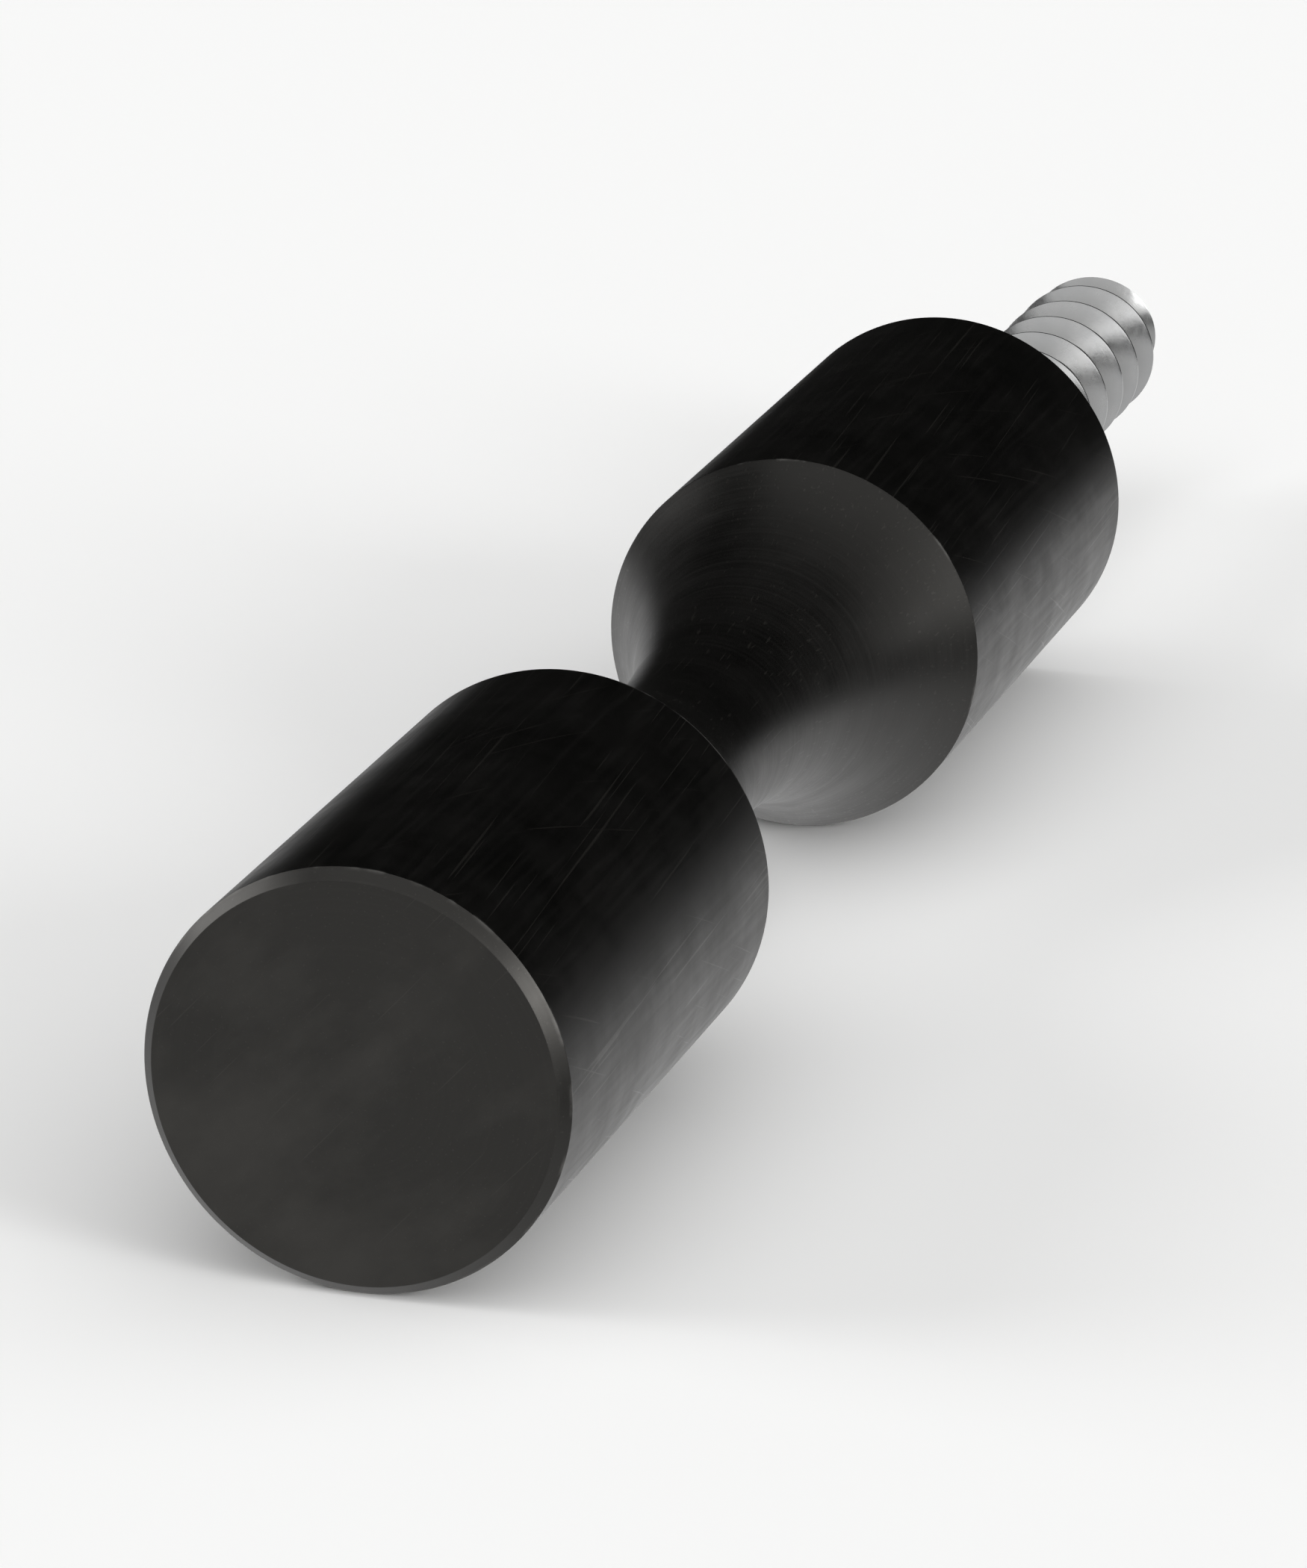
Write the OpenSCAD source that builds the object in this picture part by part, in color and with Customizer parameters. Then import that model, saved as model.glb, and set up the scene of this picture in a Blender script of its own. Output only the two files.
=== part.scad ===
// Wall peg turned from round bar, with a saddle groove all round for a load that lies
// across it, and the hanger bolt that fixes it to the wall.
// The origin is the centre of the back face, which lies against the wall. The peg stands
// out of the wall along -Y, the bolt goes into the wall along +Y, and +Z is up.
// All sizes are in millimetres.

/* [Bar] */
// Diameter of the round bar
bar_d = 19.05; // [15:0.05:28]
// Length of the plain land in front of the groove
front_land = 29.4; // [10:0.1:60]
// Length of the plain land between the groove and the wall
rear_land = 29.4; // [24:0.1:60]
// Chamfer round the front face
front_chamfer = 0.5; // [0.2:0.05:1.5]
// Chamfer round the back face
back_chamfer = 0.3; // [0.1:0.05:1]

/* [Saddle groove] */
// Width of the groove along the bar
groove_w = 36.6; // [20:0.1:60]
// Diameter of the waist in the middle of the groove
waist_d = 8.5; // [6:0.1:12]

/* [Tapped hole] */
// Play between the bolt's thread and the hole, on the radius
thread_play = 0.05; // [0.02:0.01:0.1]
// Depth that is tapped past the end of the bolt
tap_spare = 1.5; // [0.5:0.1:2.5]
// Depth that is drilled past the tapped length
drill_spare = 1.5; // [0.5:0.1:2.5]
// Angle of the drill's point
drill_angle = 118; // [90:1:140]
// Countersink round the mouth of the hole
mouth_chamfer = 0.8; // [0.3:0.1:1.5]

/* [Hanger bolt] */
// Outer diameter of both threads
bolt_d = 8; // [5:0.5:10]
// Pitch of the machine thread, which sets the tapping drill
machine_pitch = 1.25; // [0.8:0.05:1.5]
// Length of the machine thread, all of it in the bar
machine_len = 20; // [10:0.5:23]
// Chamfer at the end of the machine thread
tip_chamfer = 0.9; // [0.3:0.1:1.5]
// Step from the plain shank up to the threads, on the radius
thread_rise = 0.45; // [0.2:0.05:0.8]
// Length of the plain shank behind the back face
shank_len = 5; // [2:0.5:12]
// Length of the wood thread at its full diameter
wood_len = 27; // [12:0.5:60]
// Length of the tapered point
point_len = 8; // [4:0.5:14]

/* [Hidden] */

// Facets of a turned surface in the preview
$fn = 144;
// How far a cut runs past the face that it starts from
overcut = 0.2;

// The bar and its groove: the groove's flank is one arc, through both rims and the waist
bar_r = bar_d / 2;
waist_r = waist_d / 2;
bar_len = rear_land + groove_w + front_land;
groove_middle = rear_land + groove_w / 2;
groove_depth = bar_r - waist_r;
groove_arc_r = (pow(groove_w / 2, 2) + pow(groove_depth, 2)) / (2 * groove_depth);

// The bolt, from the end of its machine thread to its point
bolt_r = bolt_d / 2;
shank_r = bolt_r - thread_rise;
bolt_reach = shank_len + wood_len + point_len;

// The tapped hole, which takes its sizes from the bolt
hole_r = bolt_r + thread_play;
tap_depth = machine_len + tap_spare;
drill_r = (bolt_d - machine_pitch) / 2;
drill_depth = tap_depth + drill_spare;
drill_point = drill_r / tan(drill_angle / 2);

// Half sections: the radius runs along x, and y is the distance in front of the wall
module bar_section() {
    difference() {
        polygon([
            [0, 0],
            [bar_r - back_chamfer, 0],
            [bar_r, back_chamfer],
            [bar_r, bar_len - front_chamfer],
            [bar_r - front_chamfer, bar_len],
            [0, bar_len]
        ]);
        translate([waist_r + groove_arc_r, groove_middle])
            circle(r = groove_arc_r);
    }
}

module hole_section() {
    polygon([
        [0, -overcut],
        [hole_r + mouth_chamfer + overcut, -overcut],
        [hole_r, mouth_chamfer],
        [hole_r, tap_depth],
        [drill_r, tap_depth],
        [drill_r, drill_depth],
        [0, drill_depth + drill_point]
    ]);
}

// Half section of the bolt: here y is the distance behind the face of the wall
module bolt_section() {
    polygon([
        [0, -machine_len],
        [bolt_r - tip_chamfer, -machine_len],
        [bolt_r, tip_chamfer - machine_len],
        [bolt_r, 0],
        [shank_r, thread_rise],
        [shank_r, shank_len],
        [bolt_r, shank_len + thread_rise],
        [bolt_r, shank_len + wood_len],
        [0, bolt_reach]
    ]);
}

// The one turned piece: round bar, saddle groove and tapped hole
module peg() {
    color("#1b1b1c")
        rotate([90, 0, 0])
            rotate_extrude()
                difference() {
                    bar_section();
                    hole_section();
                }
}

// Double-ended bolt: machine thread in the bar, wood thread and point in the wall.
// Both threads are plain at their outer diameter.
module hanger_bolt() {
    color("#b9b8b2")
        rotate([-90, 0, 0])
            rotate_extrude()
                bolt_section();
}

peg();
hanger_bolt();
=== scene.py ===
"""Looks of a black wall peg, turned from round bar, with its zinc-plated hanger bolt.

The peg's axis is Y: the front face is at the low end, the wall's plane is y = 0, and the bolt
sticks out behind it. All lengths are in metres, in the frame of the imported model.
"""

import math

import bmesh
import bpy
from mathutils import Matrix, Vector


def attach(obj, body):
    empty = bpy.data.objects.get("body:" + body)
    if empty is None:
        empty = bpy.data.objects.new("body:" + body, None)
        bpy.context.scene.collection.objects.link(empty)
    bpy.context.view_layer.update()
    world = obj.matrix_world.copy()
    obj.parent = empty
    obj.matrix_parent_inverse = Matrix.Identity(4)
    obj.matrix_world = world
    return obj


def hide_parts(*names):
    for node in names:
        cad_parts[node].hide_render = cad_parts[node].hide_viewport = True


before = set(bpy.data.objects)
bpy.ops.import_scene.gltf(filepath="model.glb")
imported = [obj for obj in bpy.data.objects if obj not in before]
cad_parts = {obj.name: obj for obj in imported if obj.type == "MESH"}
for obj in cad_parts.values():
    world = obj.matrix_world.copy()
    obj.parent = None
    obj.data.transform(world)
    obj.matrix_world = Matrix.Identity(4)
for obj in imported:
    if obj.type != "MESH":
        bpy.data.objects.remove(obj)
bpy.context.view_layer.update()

MM = 0.001

# Sizes of the turned bar and its saddle groove
BAR_R = 9.525 * MM
REAR_LAND = 29.4 * MM
GROOVE_W = 36.6 * MM
FRONT_LAND = 29.4 * MM
WAIST_R = 4.25 * MM
FRONT_CHAMFER = 0.5 * MM
BACK_CHAMFER = 0.3 * MM
EDGE_ROUND = 0.04 * MM

# Sizes of the tapped hole
HOLE_R = 4.05 * MM
TAP_DEPTH = 21.5 * MM
DRILL_R = 3.375 * MM
DRILL_DEPTH = 23.0 * MM
DRILL_ANGLE = math.radians(118)
MOUTH_CHAMFER = 0.8 * MM

# Sizes of the hanger bolt
THREAD_R = 4.0 * MM
SHANK_R = 3.55 * MM
SHANK_LEN = 5.0 * MM
MACHINE_LEN = 20.0 * MM
MACHINE_PITCH = 1.25 * MM
MACHINE_ROOT_R = 3.25 * MM
TIP_CHAMFER = 0.9 * MM
WOOD_LEN = 27.0 * MM
WOOD_PITCH = 3.6 * MM
WOOD_ROOT_R = 2.75 * MM
POINT_LEN = 8.0 * MM

BAR_LEN = REAR_LAND + GROOVE_W + FRONT_LAND
GROOVE_DEPTH = BAR_R - WAIST_R
GROOVE_ARC_R = ((GROOVE_W / 2) ** 2 + GROOVE_DEPTH**2) / (2 * GROOVE_DEPTH)
BOLT_REACH = SHANK_LEN + WOOD_LEN + POINT_LEN
# How far behind the back face the machine thread has run out into the shank
RUN_OUT = THREAD_R - SHANK_R

# Facets round the axis, and steps of the groove's arc and of each rounded edge
BAR_FACETS = 288
BOLT_FACETS = 96
GROOVE_STEPS = 72
EDGE_STEPS = 4
# The length of flat that is held beside a rounded edge, in radii of its round
EDGE_HOLD = 1.5
# Points nearer than this are merged, and edges that turn by more than this stay sharp
MERGE_WITHIN = 0.0001 * MM
BAR_SHARP = math.radians(40)
BOLT_SHARP = math.radians(32)


def in_scene(name, data):
    """A new object with that mesh, lamp or camera, linked into the scene."""
    made = bpy.data.objects.new(name, data)
    bpy.context.scene.collection.objects.link(made)
    return made


def aim(thing, direction):
    """Turns a lamp or camera to point along the direction."""
    thing.rotation_mode = "QUATERNION"
    thing.rotation_quaternion = direction.to_track_quat("-Z", "Y")


def mesh_object(name, vertices, faces, sharp_angle):
    """A piece from raw faces: points merged, normals outward, smooth but for edges over the sharp angle."""
    mesh = bpy.data.meshes.new(name)
    mesh.from_pydata(vertices, [], faces)
    work = bmesh.new()
    work.from_mesh(mesh)
    bmesh.ops.remove_doubles(work, verts=work.verts, dist=MERGE_WITHIN)
    bmesh.ops.recalc_face_normals(work, faces=work.faces)
    for face in work.faces:
        face.smooth = True
    for edge in work.edges:
        edge.smooth = edge.is_manifold and edge.calc_face_angle() < sharp_angle
    work.to_mesh(mesh)
    work.free()
    return in_scene(name, mesh)


def on_circle(radius, y, angle):
    """The point at that radius and angle round Y. A rising angle drives a right-hand thread along +Y."""
    return (radius * math.sin(angle), y, radius * math.cos(angle))


def rounded_corner(before, corner, after):
    """Points of the small arc that rounds a section's corner, and one more each side to hold the flats."""
    corner = Vector(corner)
    to_before = (Vector(before) - corner).normalized()
    to_after = (Vector(after) - corner).normalized()
    half = to_before.angle(to_after) / 2
    tangent = EDGE_ROUND / math.tan(half)
    centre = corner + (to_before + to_after).normalized() * EDGE_ROUND / math.sin(half)
    start = corner + to_before * tangent - centre
    turn = start.angle_signed(corner + to_after * tangent - centre)
    arc = []
    for step in range(EDGE_STEPS + 1):
        part = turn * step / EDGE_STEPS
        x = start.x * math.cos(part) + start.y * math.sin(part)
        y = start.y * math.cos(part) - start.x * math.sin(part)
        arc.append(centre + Vector((x, y)))
    hold = EDGE_ROUND * EDGE_HOLD
    points = [arc[0] + to_before * hold, *arc, arc[-1] + to_after * hold]
    return [tuple(point) for point in points]


def groove_arc():
    """The groove's flank as (radius, y), from its rear rim over the waist to its front rim."""
    middle = -(REAR_LAND + GROOVE_W / 2)
    half_angle = math.asin(GROOVE_W / 2 / GROOVE_ARC_R)
    arc = []
    for step in range(GROOVE_STEPS + 1):
        angle = half_angle * (1 - 2 * step / GROOVE_STEPS)
        radius = WAIST_R + GROOVE_ARC_R * (1 - math.cos(angle))
        arc.append((radius, middle + GROOVE_ARC_R * math.sin(angle)))
    return arc


def bar_section():
    """Half section of the peg as (radius, y), from the bottom of its hole round to the front's centre."""
    drill_tip = DRILL_DEPTH + DRILL_R / math.tan(DRILL_ANGLE / 2)
    hole = [
        (0.0, -drill_tip),
        (DRILL_R, -DRILL_DEPTH),
        (DRILL_R, -TAP_DEPTH),
        (HOLE_R, -TAP_DEPTH),
    ]
    rear_rim, *flank, front_rim = groove_arc()
    outside = [
        (HOLE_R, -MOUTH_CHAMFER),
        (HOLE_R + MOUTH_CHAMFER, 0.0),
        (BAR_R - BACK_CHAMFER, 0.0),
        (BAR_R, -BACK_CHAMFER),
        rear_rim,
        *flank,
        front_rim,
        (BAR_R, FRONT_CHAMFER - BAR_LEN),
        (BAR_R - FRONT_CHAMFER, -BAR_LEN),
    ]
    front_centre = (0.0, -BAR_LEN)
    befores = [hole[-1], *outside]
    afters = [*outside[1:], front_centre]
    section = list(hole)
    for before, corner, after in zip(befores, outside, afters):
        if corner in flank:
            section.append(corner)
        else:
            section.extend(rounded_corner(before, corner, after))
    section.append(front_centre)
    return section


def lathe(section, facets):
    """Vertices and faces of a section turned round the Y axis. A point on the axis merges into a pole."""
    vertices = [
        on_circle(radius, y, 2 * math.pi * i / facets)
        for radius, y in section
        for i in range(facets)
    ]
    faces = []
    for row in range(len(section) - 1):
        for i in range(facets):
            j = (i + 1) % facets
            low = row * facets
            high = low + facets
            faces.append((low + i, low + j, high + j, high + i))
    return vertices, faces


def smooth_step(value, start, end):
    """0 before start, 1 after end, and a smooth rise between them."""
    t = min(1.0, max(0.0, (value - start) / (end - start)))
    return t * t * (3 - 2 * t)


def helical_thread(start, end, pitch, tooth, root_at, crest_at, facets):
    """Vertices and faces of a right-hand thread from start to end along Y, in rows that follow the helix.

    tooth is one turn's profile, as (share of the pitch, share of the height).
    root_at and crest_at give the radii of the thread's root and crest at y.
    """
    turns = math.ceil((end - start) / pitch) + 1
    rows = turns * len(tooth)
    vertices = []
    for row in range(rows + 1):
        share, height = tooth[row % len(tooth)]
        for i in range(facets):
            y = start + (row // len(tooth) + share - 1 + i / facets) * pitch
            y = min(end, max(start, y))
            radius = root_at(y) + height * (crest_at(y) - root_at(y))
            vertices.append(on_circle(radius, y, 2 * math.pi * i / facets))
    faces = []
    for row in range(rows):
        for i in range(facets):
            low = row * facets + i
            if i < facets - 1:
                faces.append((low, low + 1, low + 1 + facets, low + facets))
            else:
                next_low = min(row + len(tooth), rows) * facets
                next_high = min(row + 1 + len(tooth), rows) * facets
                faces.append((low, next_low, next_high, low + facets))
    return vertices, faces


# One turn of each thread: a sharp 60 degree thread, and a wood thread with a wide root and a thin blade
MACHINE_TOOTH = ((0.0, 0.0), (0.2, 0.0), (0.54, 1.0), (0.66, 1.0))
WOOD_TOOTH = (
    (0.0, 0.0),
    (0.15, 0.0),
    (0.30, 0.0),
    (0.45, 0.0),
    (0.55, 0.03),
    (0.62, 0.14),
    (0.735, 0.93),
    (0.75, 1.0),
    (0.785, 1.0),
    (0.80, 0.93),
    (0.915, 0.14),
)
# Turns that the wood thread takes from the shank down to its core, and up to its full blade
CORE_TURNS = 0.5
BLADE_TURNS = 0.9
# Powers that round the point: 1 would make the root and the crest run straight to the tip
ROOT_POWER = 0.85
CREST_POWER = 0.8


def tip_cone(y):
    """Radius of the cone that chamfers the machine thread's end."""
    return THREAD_R - TIP_CHAMFER + y + MACHINE_LEN


def machine_root(y):
    """Root of the machine thread, which runs out into the shank just behind the back face."""
    out = smooth_step(y, -MACHINE_PITCH, RUN_OUT)
    return MACHINE_ROOT_R + out * (SHANK_R - MACHINE_ROOT_R)


def machine_crest(y):
    """Crest of the machine thread: chamfered at its end, and down to the shank at its run-out."""
    chamfered = min(THREAD_R, tip_cone(y))
    return max(machine_root(y), min(chamfered, THREAD_R - max(0.0, y)))


def machine_end_root(y):
    """Root that never stands above the chamfered end."""
    return min(machine_root(y), tip_cone(y))


def point_share(y):
    """0 along the full thread, rising to 1 at the tip."""
    return max(0.0, (y - SHANK_LEN - WOOD_LEN) / POINT_LEN)


def wood_root(y):
    """Root of the wood thread: from the shank down to the core, then in to the tip."""
    core_in = smooth_step(y, SHANK_LEN, SHANK_LEN + WOOD_PITCH * CORE_TURNS)
    core = SHANK_R + core_in * (WOOD_ROOT_R - SHANK_R)
    return core * max(0.0, 1 - point_share(y)) ** ROOT_POWER


def wood_crest(y):
    """Crest of the wood thread: it grows out of the shank in the first turn and tapers with the point."""
    grown = smooth_step(y, SHANK_LEN, SHANK_LEN + WOOD_PITCH * BLADE_TURNS)
    full = SHANK_R + grown * (THREAD_R - SHANK_R)
    return full * max(0.0, 1 - point_share(y)) ** CREST_POWER


def build_peg():
    """The turned bar: it stands for the CAD node of the same shape, with fine edge rounds."""
    vertices, faces = lathe(bar_section(), BAR_FACETS)
    piece = mesh_object("peg_turned", vertices, faces, BAR_SHARP)
    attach(piece, "root")
    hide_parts("peg")
    return piece


def build_bolt():
    """The double-ended bolt, one closed mesh: end, machine thread, shank, wood thread and point."""
    end_cap = lathe([(0.0, -MACHINE_LEN), (THREAD_R - TIP_CHAMFER, -MACHINE_LEN)], BOLT_FACETS)
    machine = helical_thread(
        -MACHINE_LEN,
        RUN_OUT,
        MACHINE_PITCH,
        MACHINE_TOOTH,
        machine_end_root,
        machine_crest,
        BOLT_FACETS,
    )
    shank = lathe([(SHANK_R, RUN_OUT), (SHANK_R, SHANK_LEN)], BOLT_FACETS)
    wood = helical_thread(
        SHANK_LEN,
        BOLT_REACH,
        WOOD_PITCH,
        WOOD_TOOTH,
        wood_root,
        wood_crest,
        BOLT_FACETS,
    )
    vertices, faces = [], []
    for part_vertices, part_faces in (end_cap, machine, shank, wood):
        offset = len(vertices)
        vertices.extend(part_vertices)
        faces.extend(tuple(offset + v for v in face) for face in part_faces)
    piece = mesh_object("hanger_bolt_threaded", vertices, faces, BOLT_SHARP)
    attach(piece, "root")
    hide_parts("hanger_bolt")
    return piece


class Finish:
    """A node material while it is put together around its Principled shader."""

    def __init__(self, name):
        self.material = bpy.data.materials.new(name)
        self.material.use_nodes = True
        self.nodes = self.material.node_tree.nodes
        self.links = self.material.node_tree.links
        self.shader = self.nodes["Principled BSDF"]

    def feed(self, socket, value):
        """Links an output to the socket, or sets the socket's own value."""
        if isinstance(value, bpy.types.NodeSocket):
            self.links.new(value, socket)
        else:
            socket.default_value = value

    def surface(self, inputs):
        """Feeds the Principled shader's own sockets, by name."""
        for name, value in inputs.items():
            self.feed(self.shader.inputs[name], value)

    def node(self, kind, inputs=None, **settings):
        """A new shader node of that kind, with its settings made and its inputs fed."""
        made = self.nodes.new("ShaderNode" + kind)
        for name, value in settings.items():
            setattr(made, name, value)
        for name, value in (inputs or {}).items():
            self.feed(made.inputs[name], value)
        return made

    def math(self, operation, first, second):
        """The result of that operation on two values."""
        return self.node("Math", {0: first, 1: second}, operation=operation).outputs[0]

    def root(self, value):
        """The square root of a value."""
        return self.node("Math", {0: value}, operation="SQRT").outputs[0]

    def distance(self, first, second):
        """How far apart two values are."""
        between = self.math("SUBTRACT", first, second)
        return self.node("Math", {0: between}, operation="ABSOLUTE").outputs[0]

    def remap(self, value, low, high, to_low=0.0, to_high=1.0):
        """Takes low..high to to_low..to_high, and holds the ends."""
        inputs = {
            "Value": value,
            "From Min": low,
            "From Max": high,
            "To Min": to_low,
            "To Max": to_high,
        }
        return self.node("MapRange", inputs).outputs["Result"]

    def noise(self, vector, size, detail, roughness=0.5):
        """Noise whose features are about that many metres across."""
        inputs = {
            "Vector": vector,
            "Scale": 1 / size,
            "Detail": detail,
            "Roughness": roughness,
        }
        return self.node("TexNoise", inputs).outputs[0]

    def laid(self, vector, rotation=(0, 0, 0), stretch=(1, 1, 1)):
        """The place in turned axes, each stretched that many times, to lay grain along a direction."""
        inputs = {"Vector": vector, "Rotation": rotation, "Scale": stretch}
        return self.node("Mapping", inputs, vector_type="TEXTURE").outputs["Vector"]

    def wound(self, place, along, slope):
        """The place wound round Y, so that what runs along Y follows a helix of that slope on the bar."""
        inputs = {"Vector": place, "Angle": self.math("MULTIPLY", along, slope / BAR_R)}
        return self.node("VectorRotate", inputs, rotation_type="Y_AXIS").outputs["Vector"]

    def mix_value(self, factor, first, second):
        """A blend of two values, by the Mix node's sockets for plain numbers."""
        return self.node("Mix", {0: factor, 2: first, 3: second}).outputs[0]

    def mix_colour(self, factor, first, second):
        """A blend of two colours, by the Mix node's sockets for colours."""
        return self.node("Mix", {0: factor, 6: first, 7: second}, data_type="RGBA").outputs[2]

    def bump(self, height, depth, normal=None):
        """Bump of that depth in metres between height 0 and 1."""
        inputs = {"Height": height, "Distance": depth}
        if normal is not None:
            inputs["Normal"] = normal
        return self.node("Bump", inputs).outputs["Normal"]

    def round_axis(self):
        """Where a point is: (object coordinates, its distance from the axis, its place along the axis)."""
        place = self.node("TexCoord").outputs["Object"]
        x, y, z = self.node("SeparateXYZ", {"Vector": place}).outputs
        across = self.math("MULTIPLY", x, x)
        up = self.math("MULTIPLY", z, z)
        return place, self.root(self.math("ADD", across, up)), y

    def near(self, value, target, reach):
        """1 at the target, falling to 0 at that distance from it."""
        return self.remap(self.distance(value, target), 0.0, reach, 1.0, 0.0)

    def dashes(self, stretched, width, share):
        """1 on thin scratches of that width in a stretched place, else 0. A larger share gives more."""
        peaks = self.noise(stretched, 2 * width, 0.0)
        return self.remap(peaks, 1 - share, 1 - share + SCRATCH_SOFTNESS)

    def scratches_round(self, place, along, slope, stretch, width, share):
        """Scratches that follow a helix of that slope round the bar."""
        drawn_out = self.laid(self.wound(place, along, slope), stretch=(1, stretch, 1))
        return self.dashes(drawn_out, width, share)

    def scratches_across(self, place, turn, stretch, width, share):
        """Scratches across the end face, turned that far from upright towards +X."""
        drawn_out = self.laid(place, (0, turn, 0), (1, 1, stretch))
        return self.dashes(drawn_out, width, share)


# The middle part of a noise's range, where most of its values lie
NOISE_MIDDLE = (0.30, 0.70)

# The black finish: its colours, from the darkest cloud to bare metal on worn edges, and its gloss
BLACK_DARK = (0.0010, 0.0010, 0.0009, 1)
BLACK_PALE = (0.0018, 0.0017, 0.0016, 1)
BLACK_LINED = (0.0044, 0.0042, 0.0039, 1)
BLACK_WIPED_AND_LIT = (0.0130, 0.0124, 0.0113, 1)
BLACK_SCRATCHED = (0.020, 0.019, 0.017, 1)
BARE_METAL = (0.090, 0.088, 0.084, 1)
BLACK_IOR = 1.47
BLACK_TINT = (1.0, 0.97, 0.915, 1)
BLACK_ROUGH = (0.33, 0.41)
# How much of their colour lines, scratches and worn edges show, and what they do to the gloss
LINES_SHOW = 0.5
SCRATCHES_SHOW = 0.40
WEAR_SHOWS = 0.8
LINES_ROUGHEN = 0.025
SCRATCHES_SMOOTH = 0.05
# Its noises: the size of their features, their octaves and how strong each octave is
CLOUDS = (6.0 * MM, 4.0, 0.6)
WIPES = (2.2 * MM, 4.0, 0.6)
DRAW_LINES = (0.30 * MM, 3.0, 0.5)
RINGS = (0.16 * MM, 3.0, 0.5)
GRAIN = (0.10 * MM, 2.0, 0.5)
WORN_PATCHES = (1.6 * MM, 3.0, 0.5)
# Where each noise starts to show and where it shows fully
CLOUDS_FROM_TO = (0.30, 0.72)
LINES_FROM_TO = (0.50, 0.75)
WIPES_FROM_TO = (0.43, 0.70)
SATIN_FROM_TO = (0.38, 0.62)
WORN_FROM_TO = (0.48, 0.66)
# Draw lines are stretched along the bar. Wipe marks are stretched and turned from upright towards +X
DRAW_STRETCH = 25
WIPE_STRETCH = 2.4
WIPE_TURN = 0.9
# What is added to the wipe marks at the end face's left edge, and again at its bottom: a painted lighter
# lower left, as if more light fell there
WIPE_AND_LIGHT_LEAN = 0.10
# Thin scratches: their slope or turn, how far they are drawn out, their width and their share
SCRATCHES_ALONG = (0.06, 100, 0.06 * MM, 0.26)
SCRATCHES_SLANTED = (-0.45, 80, 0.05 * MM, 0.22)
SCRATCHES_ON_FRONT = (0.75, 70, 0.05 * MM, 0.24)
SCRATCH_SOFTNESS = 0.04
# Depths of its turning lines, its grain and its scratches
RING_DEPTH = 0.0016 * MM
GRAIN_DEPTH = 0.0010 * MM
SCRATCH_DEPTH = 0.0012 * MM
# A point starts to count as a land's this far in from the bar's surface, and fully this far in
LAND_STARTS = 0.06 * MM
LAND_FULL = 0.01 * MM
# Reach of the wear along the bar, from the end face and from each other edge
FACE_WEAR_REACH = 0.10 * MM
WEAR_REACH = 0.12 * MM
# It starts this far in from the bar's surface, and is full this far in
WEAR_STARTS = 0.5 * MM
WEAR_FULL = 0.1 * MM


def edge_wear(m, place, radius, along):
    """Patches of wear on the sharp edges: the front chamfer's two, and the rims of the groove."""
    outer = m.remap(radius, BAR_R - WEAR_STARTS, BAR_R - WEAR_FULL)
    edges = m.math("MULTIPLY", m.near(along, -BAR_LEN, FACE_WEAR_REACH), outer)
    for y in (FRONT_CHAMFER - BAR_LEN, FRONT_LAND - BAR_LEN, -REAR_LAND):
        rim = m.math("MULTIPLY", m.near(along, y, WEAR_REACH), outer)
        edges = m.math("MAXIMUM", edges, rim)
    patches = m.remap(m.noise(place, *WORN_PATCHES), *WORN_FROM_TO)
    return m.math("MULTIPLY", edges, patches)


def thin_scratches(m, place, along, drawn, front):
    """Scratches along the bar on every face, slanted ones on the lands, and some across the end face."""
    lengthwise = m.scratches_round(place, along, *SCRATCHES_ALONG)
    slanted = m.scratches_round(place, along, *SCRATCHES_SLANTED)
    across = m.scratches_across(place, *SCRATCHES_ON_FRONT)
    on_lands = m.math("MULTIPLY", slanted, drawn)
    on_front = m.math("MULTIPLY", across, front)
    return m.math("MAXIMUM", lengthwise, m.math("MAXIMUM", on_lands, on_front))


def smeared_clouds(m, place, clouds):
    """The clouds, half and half with wipe marks that run across the bar."""
    wipes = m.noise(m.laid(place, (0, WIPE_TURN, 0), (1, 1, WIPE_STRETCH)), *WIPES)
    return m.math("ADD", m.math("MULTIPLY", clouds, 0.5), m.math("MULTIPLY", wipes, 0.5))


def wipe_marks_and_painted_light(m, place, smeared, front):
    """Wipe marks on the end face, made stronger to its lower left, which paints that side lighter as light
    would.
    """
    towards_lit_lower_left = (-WIPE_AND_LIGHT_LEAN / BAR_R, 0, -WIPE_AND_LIGHT_LEAN / BAR_R)
    painted_light_lean = m.node("VectorMath", {0: place, 1: towards_lit_lower_left}, operation="DOT_PRODUCT").outputs["Value"]
    wipes_and_painted_light = m.math("ADD", smeared, painted_light_lean)
    return m.math("MULTIPLY", m.remap(wipes_and_painted_light, *WIPES_FROM_TO), front)


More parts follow.
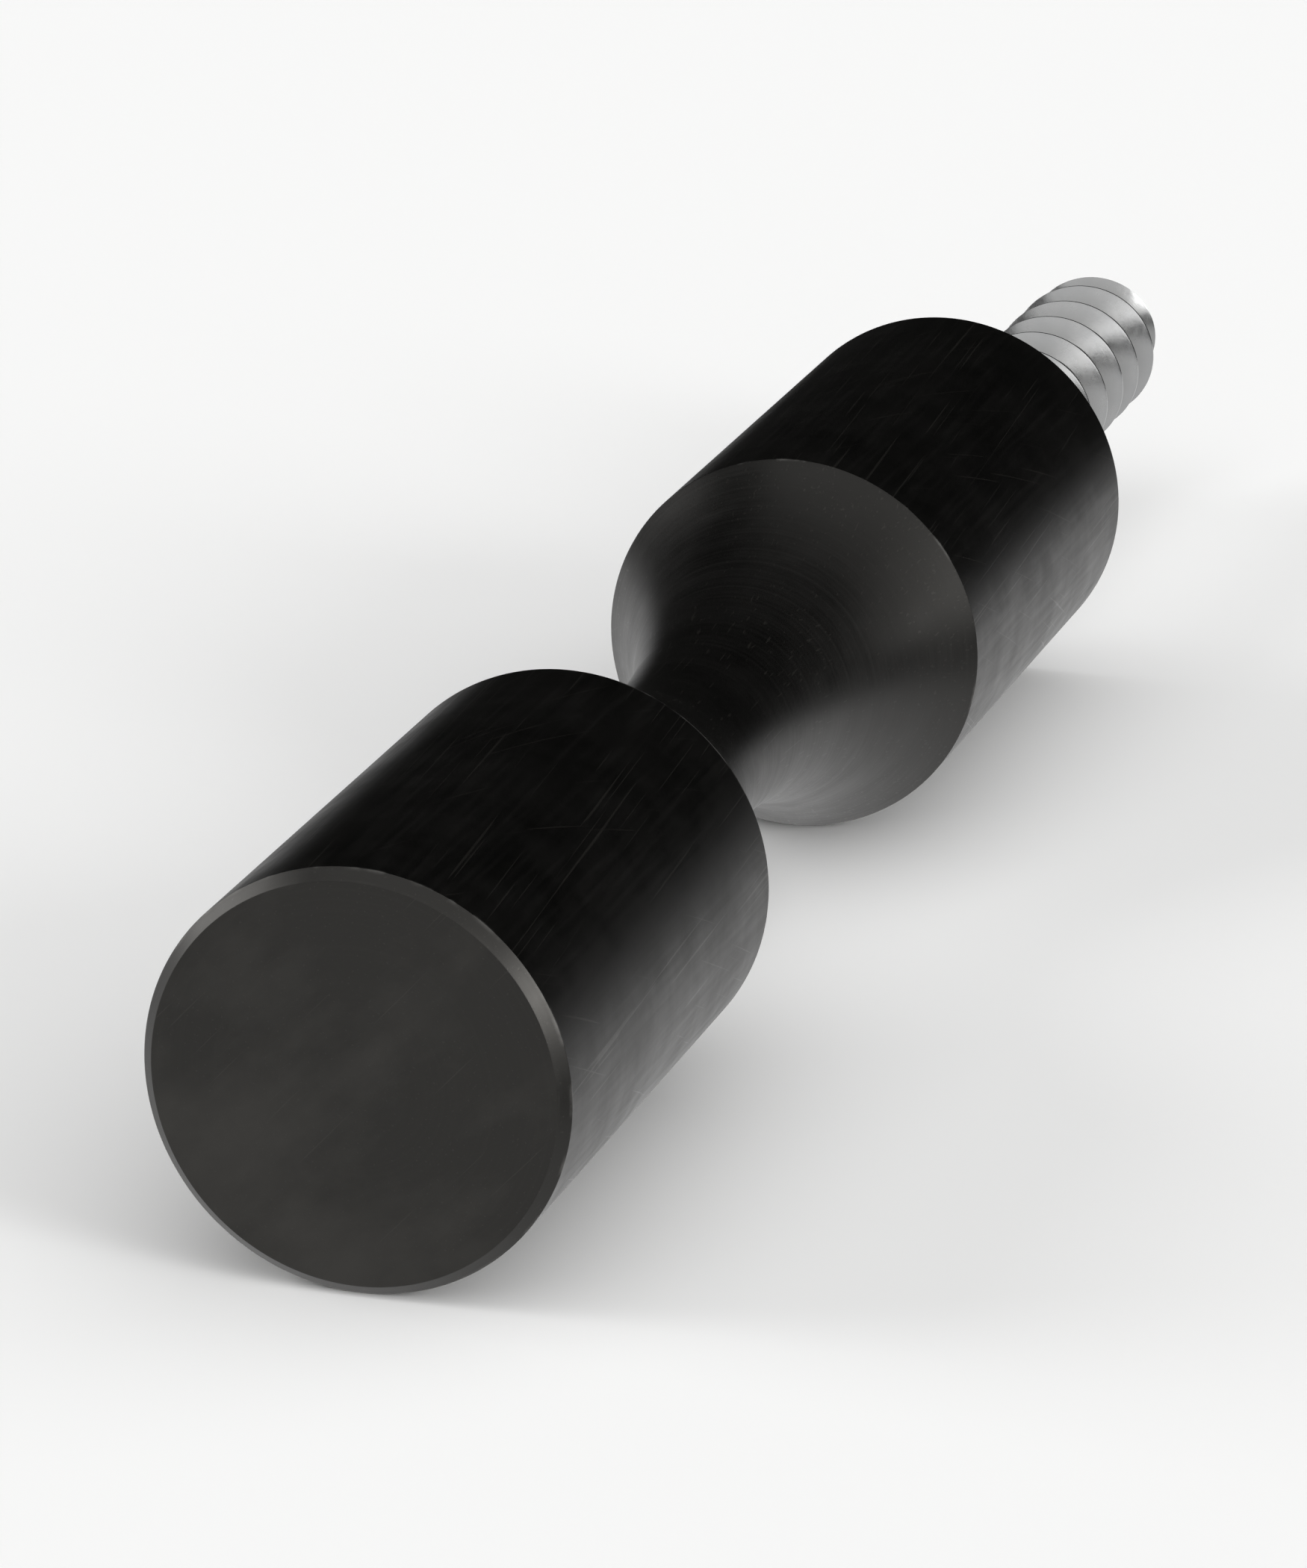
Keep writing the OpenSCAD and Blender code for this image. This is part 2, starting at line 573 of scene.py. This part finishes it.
def black_anodised():
    """Satin black on drawn bar, with faint draw lines along the lands and turning lines on all other faces.

    It has clouds of handling, wipe marks on the front with a painted lighter lower left, a few thin
    scratches, and slightly worn edges.
    """
    m = Finish("black_anodised")
    place, radius, along = m.round_axis()
    section = m.node("CombineXYZ", {"X": radius, "Y": along}).outputs[0]
    drawn = m.remap(radius, BAR_R - LAND_STARTS, BAR_R - LAND_FULL)
    turned = m.math("SUBTRACT", 1.0, drawn)
    front = m.remap(along, -BAR_LEN, FRONT_CHAMFER - BAR_LEN, 1.0, 0.0)

    clouds = m.noise(place, *CLOUDS)
    smeared = smeared_clouds(m, place, clouds)
    rings = m.noise(section, *RINGS)
    draw_lines = m.noise(m.laid(place, stretch=(1, DRAW_STRETCH, 1)), *DRAW_LINES)
    lines = m.mix_value(drawn, rings, draw_lines)
    scratches = thin_scratches(m, place, along, drawn, front)
    wear = edge_wear(m, place, radius, along)

    colour = m.mix_colour(m.remap(clouds, *CLOUDS_FROM_TO), BLACK_DARK, BLACK_PALE)
    colour = m.mix_colour(m.remap(lines, *LINES_FROM_TO, 0.0, LINES_SHOW), colour, BLACK_LINED)
    # Wipe marks, together with a painted lighter lower left on the end face
    colour = m.mix_colour(wipe_marks_and_painted_light(m, place, smeared, front), colour, BLACK_WIPED_AND_LIT)
    colour = m.mix_colour(m.math("MULTIPLY", scratches, SCRATCHES_SHOW), colour, BLACK_SCRATCHED)
    colour = m.mix_colour(m.math("MULTIPLY", wear, WEAR_SHOWS), colour, BARE_METAL)

    satin = m.remap(smeared, *SATIN_FROM_TO, *BLACK_ROUGH)
    satin = m.math("ADD", satin, m.remap(lines, *NOISE_MIDDLE, -LINES_ROUGHEN, LINES_ROUGHEN))
    satin = m.math("SUBTRACT", satin, m.math("MULTIPLY", scratches, SCRATCHES_SMOOTH))

    relief = m.bump(m.math("MULTIPLY", rings, turned), RING_DEPTH)
    relief = m.bump(m.noise(place, *GRAIN), GRAIN_DEPTH, relief)
    relief = m.bump(scratches, -SCRATCH_DEPTH, relief)
    m.surface({"Base Color": colour, "Roughness": satin, "Normal": relief})
    m.surface({"IOR": BLACK_IOR, "Specular Tint": BLACK_TINT})
    return m.material


# The zinc: its colours, the range of its roughness, and how much the spangle changes that
ZINC_DULL = (0.34, 0.345, 0.35, 1)
ZINC_BRIGHT = (0.47, 0.47, 0.465, 1)
# Painted shade: the colour that the thread roots darken towards
ZINC_ROOT_SHADE = (0.28, 0.28, 0.275, 1)
ZINC_ROUGH = (0.18, 0.30)
SPANGLE_ROUGHENS = 0.03
# How dark the painted shade in the thread roots is, and how far below the crest it starts
ROOT_SHADE_SHOWS = 0.75
ROOT_SHADE_START = 0.2 * MM
# Its noises, as for the black finish, and the depths of its rolling marks and its spangle
ZINC_CLOUDS = (2.2 * MM, 3.0, 0.6)
SPANGLE = (0.30 * MM, 2.0, 0.5)
ROLLING_MARKS = (0.10 * MM, 2.0, 0.5)
ROLLING_DEPTH = 0.0020 * MM
SPANGLE_DEPTH = 0.0040 * MM


def zinc_plated():
    """Bright zinc: slightly cloudy, with painted shade that darkens the thread roots, and fine marks from
    thread rolling.
    """
    m = Finish("zinc_plated")
    place, radius, along = m.round_axis()
    section = m.node("CombineXYZ", {"X": radius, "Y": along}).outputs[0]
    clouds = m.noise(place, *ZINC_CLOUDS)
    spangle = m.noise(place, *SPANGLE)
    rolled = m.noise(section, *ROLLING_MARKS)

    # Painted shade: the colour darkens towards the thread roots, as shade falls in them
    painted_root_shade = m.remap(radius, WOOD_ROOT_R, THREAD_R - ROOT_SHADE_START, ROOT_SHADE_SHOWS, 0.0)
    colour = m.mix_colour(clouds, ZINC_DULL, ZINC_BRIGHT)
    colour = m.mix_colour(painted_root_shade, colour, ZINC_ROOT_SHADE)

    rough = m.remap(clouds, *NOISE_MIDDLE, *ZINC_ROUGH)
    spangled = m.remap(spangle, *NOISE_MIDDLE, -SPANGLE_ROUGHENS, SPANGLE_ROUGHENS)
    rough = m.math("ADD", rough, spangled)

    relief = m.bump(rolled, ROLLING_DEPTH)
    relief = m.bump(spangle, SPANGLE_DEPTH, relief)
    m.surface({"Base Color": colour, "Roughness": rough, "Normal": relief, "Metallic": 1.0})
    return m.material


def grey(level):
    """An opaque grey, from black at 0 to white at 1."""
    return (level, level, level, 1)


def matte(name, colour):
    """A finish without gloss, for the floor and the board."""
    m = Finish(name)
    m.surface({"Base Color": colour, "Roughness": 1.0, "Specular IOR Level": 0.0})
    return m


def stage_sheet(name, corners, finish):
    """A flat four-cornered sheet that is no part of the peg."""
    mesh = bpy.data.meshes.new(name)
    mesh.from_pydata(corners, [], [(0, 1, 2, 3)])
    mesh.materials.append(finish.material)
    sheet = in_scene(name, mesh)
    return sheet


# Where the floor lies under the peg's axis, how far it reaches, and its colour
FLOOR_DROP = BAR_R + 0.01 * MM
FLOOR_HALF = 30.0
FLOOR_COLOUR = (0.93, 0.93, 0.925, 1)
# What shiny surfaces see of it: plain white, without a shadow, that turns dim further out to the right
FLOOR_SEEN = 0.84
FLOOR_SEEN_DIM = 0.20
DIM_FROM_X = 22.0 * MM
DIM_TO_X = 45.0 * MM


def build_floor():
    """A plain pale floor, whose shadow shows to the camera but not in the peg's own gloss."""
    m = matte("pale_floor", FLOOR_COLOUR)
    place = m.node("TexCoord").outputs["Object"]
    x = m.node("SeparateXYZ", {"Vector": place}).outputs["X"]
    level = m.remap(x, DIM_FROM_X, DIM_TO_X, FLOOR_SEEN, FLOOR_SEEN_DIM)
    seen = m.node("Emission", {"Strength": level}).outputs["Emission"]
    shiny = m.node("LightPath").outputs["Is Glossy Ray"]
    mixed = m.node("MixShader", {0: shiny, 1: m.shader.outputs["BSDF"], 2: seen}).outputs["Shader"]
    m.feed(m.nodes["Material Output"].inputs["Surface"], mixed)
    corners = [
        (-FLOOR_HALF, -FLOOR_HALF, -FLOOR_DROP),
        (FLOOR_HALF, -FLOOR_HALF, -FLOOR_DROP),
        (FLOOR_HALF, FLOOR_HALF, -FLOOR_DROP),
        (-FLOOR_HALF, FLOOR_HALF, -FLOOR_DROP),
    ]
    return stage_sheet("floor", corners, m)


# A dark board behind the peg, which only shiny surfaces see
BOARD_Y = 0.085
BOARD_HALF = 0.30
BOARD_TOP = 0.40
# It glows a little at the floor, and the glow fades out at this height
BOARD_GLOW = 0.015
BOARD_GLOW_TO = 0.05


def build_board():
    """A dark board behind the peg, out of the picture, so that the peg's top stays black."""
    m = matte("board_black", grey(0.0))
    place = m.node("TexCoord").outputs["Object"]
    height = m.node("SeparateXYZ", {"Vector": place}).outputs["Z"]
    glow = m.remap(height, -FLOOR_DROP, BOARD_GLOW_TO, BOARD_GLOW, 0.0)
    m.surface({"Emission Strength": glow, "Emission Color": grey(1.0)})
    corners = [
        (-BOARD_HALF, BOARD_Y, -FLOOR_DROP),
        (BOARD_HALF, BOARD_Y, -FLOOR_DROP),
        (BOARD_HALF, BOARD_Y, BOARD_TOP),
        (-BOARD_HALF, BOARD_Y, BOARD_TOP),
    ]
    board = stage_sheet("dark_board", corners, m)
    board.visible_camera = False
    board.visible_diffuse = False
    board.visible_shadow = False
    board.visible_transmission = False
    return board


# The studio: how bright the surroundings are, as a share of white
HORIZON_LEVEL = 0.92
CEILING_LEVEL = 0.10
BAND_TOP = math.radians(8)
CEILING_FROM = math.radians(24)
# Each soft light: where it comes from, the width of its disc, and its strength
LIGHTS = {
    "overhead": ((0.52, -0.28, 0.81), math.radians(130), 2.2),
    "left": ((-0.87, -0.10, 0.42), math.radians(34), 1.2),
    "right": ((0.86, -0.36, 0.36), math.radians(22), 1.0),
}


def build_world():
    """Surroundings that are white at the horizon and dim overhead."""
    world = bpy.data.worlds.new("studio")
    bpy.context.scene.world = world
    world.use_nodes = True
    nodes, links = world.node_tree.nodes, world.node_tree.links
    background = nodes["Background"]
    place = nodes.new("ShaderNodeTexCoord")
    parts = nodes.new("ShaderNodeSeparateXYZ")
    ramp = nodes.new("ShaderNodeValToRGB")
    links.new(place.outputs["Generated"], parts.inputs[0])
    links.new(parts.outputs["Z"], ramp.inputs[0])
    links.new(ramp.outputs[0], background.inputs["Color"])
    ramp.color_ramp.interpolation = "EASE"
    low, high = ramp.color_ramp.elements
    low.position = math.sin(BAND_TOP)
    low.color = grey(HORIZON_LEVEL)
    high.position = math.sin(CEILING_FROM)
    high.color = grey(CEILING_LEVEL)
    background.inputs["Strength"].default_value = 1.0
    return world


def build_sun(name, source, width, strength):
    """A distant soft light that comes from the given direction."""
    light = bpy.data.lights.new(name, "SUN")
    light.energy = strength
    light.angle = width
    sun = in_scene(name, light)
    aim(sun, -Vector(source))
    return sun


# The camera stands where the photograph's does, measured from the centre of the front face's rim
CAMERA_FROM_RIM = Vector((99.4, -278.0, 110.1)) * MM
# The point that it looks at, and its lens for a picture 1750 wide and 2100 high
AIM_AT = Vector((-1.7, -47.4, -1.9)) * MM
LENS_MM = 172.0
SENSOR_MM = 36.0
# It sees nothing nearer or further than this
CLIP_NEAR = 0.01
CLIP_FAR = 100.0


def build_camera():
    """The camera, at the photograph's viewing angle."""
    camera = bpy.data.cameras.new("camera")
    camera.lens = LENS_MM
    camera.sensor_width = SENSOR_MM
    camera.clip_start = CLIP_NEAR
    camera.clip_end = CLIP_FAR
    stand = in_scene("camera", camera)
    rim = Vector((0.0, FRONT_CHAMFER - BAR_LEN, 0.0))
    stand.location = rim + CAMERA_FROM_RIM
    aim(stand, AIM_AT - stand.location)
    bpy.context.scene.camera = stand
    return stand


bpy.context.scene.view_settings.view_transform = "Standard"
build_camera()
build_world()
for light_name, light_values in LIGHTS.items():
    build_sun(light_name, *light_values)
build_floor()
build_board()
build_peg().data.materials.append(black_anodised())
build_bolt().data.materials.append(zinc_plated())
